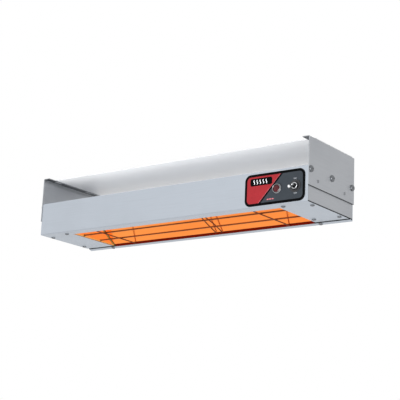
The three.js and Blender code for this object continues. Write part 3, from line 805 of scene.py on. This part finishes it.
word("ON", SWITCH.x - 0.4 * MM, SWITCH.z + 13 * MM, 2.5)
word("OFF", SWITCH.x + 0.4 * MM, SWITCH.z - 12.4 * MM, 2.5)

# ---------------------------------------------------------------- toggle switch and lamp


def turned_part(name, mesh, node, look, centre):
    """A piece of the switch or lamp, turned outward and seated on its CAD node's rear side."""
    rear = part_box(node)[1].y
    stand_in(name, mesh, node, look, facing(OUTWARD, (centre.x, rear, centre.z)))


low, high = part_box("switch_bushing")
neck = (high.y - low.y) / MM
thread_from = 1.4
thread_count = int((neck - 0.8 - thread_from) / THREAD_STEP)
threads = [(5.9 if k % 2 else 5.74, thread_from + k * THREAD_STEP) for k in range(thread_count)]
bushing = [(4.4, 0), (8.1, 0), (8.3, 0.2), (8.3, 1.4), *threads]
bushing += [(5.7, neck - 0.5), (5.4, neck - 0.15), (4.9, neck), (4.4, neck - 0.2), (3.9, neck - 0.9)]
bushing += [(3.9, 3.4), (4.4, 0)]
bushing_mesh = lathe_mm("bushing_thread", bushing, 56)
turned_part("bushing_thread", bushing_mesh, "switch_bushing", satin_chrome, SWITCH)
# A black sleeve inside the bushing's bore is painted shade for the dark hole.
bore_shade = [(3.55, 3.6), (3.85, 3.6), (3.85, neck - 1.0), (3.7, neck - 0.9), (3.55, neck - 1.0), (3.55, 3.6)]
bore = bpy.data.objects.new("bushing_bore_shade", lathe_mm("bushing_bore_shade", bore_shade, 40))
bore.matrix_world = facing(OUTWARD, (SWITCH.x, high.y, SWITCH.z))
link(bore, black_look)

low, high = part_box("switch_nut")
thick = (high.y - low.y) / MM
flat = (high.x - low.x) / MM / 2
corner = (high.x - low.x) / MM / math.sqrt(3)
hexagon = lathe_mm("hexagon", [(0, 0), (corner, 0), (corner, thick), (0, thick)], 6)
chamfered = [
    (6.1, -0.1), (6.1, thick + 0.1), (flat - 0.1, thick + 0.1), (flat + 1.1, thick - 0.7),
    (flat + 1.1, 0.5), (flat + 0.2, -0.1), (6.1, -0.1),
]
nut = boolean(hexagon, [lathe_mm("turned", chamfered, 64)], "INTERSECT")
turned_part("nut_face", nut, "switch_nut", nut_look, SWITCH)

washer = [(6.1, 0), (10.5, 0), (10.7, 0.2), (10.7, 0.5), (10.5, 0.7), (6.1, 0.7), (6.1, 0)]
washer_mesh = lathe_mm("washer_ring", washer, 64)
turned_part("washer_ring", washer_mesh, "switch_washer", black_look, SWITCH)

REST_TILT = math.radians(17)  # half of the toggle's travel
toggle = next(joint for joint in frame["joints"] if joint["name"] == "switch_toggle")
foot_end = [(0, -10.5), (1.0, -10.4), (1.4, -9.8), (1.5, -3.2)]
pivot_ball = [(2.7, -2.2), (3.3, -1.1), (3.5, 0), (3.3, 1.1), (2.7, 2.2), (1.8, 3.0)]
neck_end = [(1.5, 3.6), (1.5, 9), (1.9, 13), (2.4, 15.5), (2.7, 17)]
lever = [*foot_end, *pivot_ball, *neck_end, *quarter_round(2.8, 18.3, 2.8), (0, 21.1)]
tilted = Matrix.Translation(toggle["pos_m"]) @ Matrix.Rotation(REST_TILT, 4, "X") @ facing(OUTWARD)
lever_mesh = lathe_mm("bat_lever", lever, 40)
stand_in("bat_lever", lever_mesh, "switch_lever", lever_look, tilted, "lever")

bezel = [
    (6.9, 0), (8.2, 0), (8.3, 0.2), (8.25, 0.7), (7.75, 1.1), (7.6, 1.6),
    (7.6, 2.8), (7.45, 3.1), (7.2, 3.2), (6.98, 3.05), (6.9, 2.8), (6.9, 0),
]
bezel_mesh = lathe_mm("bezel_ring", bezel, 64)
turned_part("bezel_ring", bezel_mesh, "lamp_ring", satin_chrome, LAMP)
lens_mesh = lathe_mm("lens_dome", [(0, 0), (6.6, 0), *quarter_round(6.6, 1.1, 2.4, 8), (0, 3.5)], 56)
turned_part("lens_dome", lens_mesh, "lamp_lens", lens_look, LAMP)

gland = [
    (5, 0), (10.0, 0), (10.4, 0.4), (10.4, 1.8), (9.3, 2.4), (9.3, 4.2), (11.7, 4.2), (12, 4.5),
    (12, 6.4), (11.4, 7.3), (10.4, 7.9), (9.0, 8), (6.2, 8), (5.4, 7.6), (5, 7), (5, 0),
]
gland_at = (GLAND.x, GLAND.y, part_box("cord_bushing")[0].z)
stand_in("gland_collar", lathe_mm("gland_collar", gland, 56), "cord_bushing", black_look,
         facing((0, 0, 1), gland_at))

# ---------------------------------------------------------------- room, light and camera

world = bpy.data.worlds.new("studio")
bpy.context.scene.world = world
world.use_nodes = True
tree = world.node_tree
background = tree.nodes["Background"]
where = tree.nodes.new("ShaderNodeTexCoord")
split = tree.nodes.new("ShaderNodeSeparateXYZ")
ramp = tree.nodes.new("ShaderNodeMapRange")
tree.links.new(where.outputs["Generated"], split.inputs["Vector"])
tree.links.new(split.outputs["X"], ramp.inputs["Value"])
fade = {"From Min": -0.35, "From Max": 0.6, "To Min": 1.0, "To Max": 0.84}
for key, value in fade.items():
    ramp.inputs[key].default_value = value
tree.links.new(ramp.outputs["Result"], background.inputs["Strength"])
background.inputs["Color"].default_value = (1, 1, 1, 1)

FLOOR_REACH = 14.0
FLOOR_Z = HOUSING_LOW.z - 2.2
square = [(-1, -1), (1, -1), (1, 1), (-1, 1)]
floor_mesh = bpy.data.meshes.new("floor")
floor_mesh.from_pydata([(x * FLOOR_REACH, y * FLOOR_REACH, FLOOR_Z) for x, y in square], [], [(0, 1, 2, 3)])
floor = bpy.data.objects.new("floor", floor_mesh)
bpy.context.scene.collection.objects.link(floor)
floor_mesh.materials.append(moulded("pale_floor", (0.82, 0.82, 0.82), (0.7, 0.85), 40, 0.03))


def soft_light(name, at, aim, size, power, shines=True):
    """Square area light, unseen itself; shines says whether glossy surfaces mirror it."""
    light = bpy.data.lights.new(name, "AREA")
    light.shape = "SQUARE"
    light.size = size
    light.energy = power
    obj = bpy.data.objects.new(name, light)
    obj.matrix_world = facing(Vector(at) - Vector(aim), at)
    obj.visible_camera = False
    obj.visible_glossy = shines
    bpy.context.scene.collection.objects.link(obj)


soft_light("overhead", (-1.6, 2.0, 2.2), (-1.6, 2.0, 0), 3.4, 36)
soft_light("fill", (0.7, -1.5, -0.5), (0, 0, 0), 0.9, 15)
soft_light("low_fill", (-0.45, -0.9, -0.68), (-0.1, 0, 0), 0.9, 20, shines=False)

# The camera looks up at the warmer from in front of its switch end.
CAMERA_AT = Vector((1.2793, -1.6871, -0.5944))
CAMERA_FORWARD = Vector((-0.58069626, 0.77627376, 0.24533834))
CAMERA_UP = Vector((0.11105471, -0.22300623, 0.96847048))
camera_data = bpy.data.cameras.new("camera")
camera_data.sensor_width = 36
camera_data.lens = 104.485
camera_data.clip_start = 0.05
camera_data.clip_end = 60
camera = bpy.data.objects.new("camera", camera_data)
right = CAMERA_FORWARD.cross(CAMERA_UP)
axes = Matrix((right, CAMERA_UP, -CAMERA_FORWARD)).transposed()
camera.matrix_world = Matrix.Translation(CAMERA_AT) @ axes.to_4x4()
bpy.context.scene.collection.objects.link(camera)
bpy.context.scene.camera = camera
bpy.context.scene.view_settings.view_transform = "Standard"
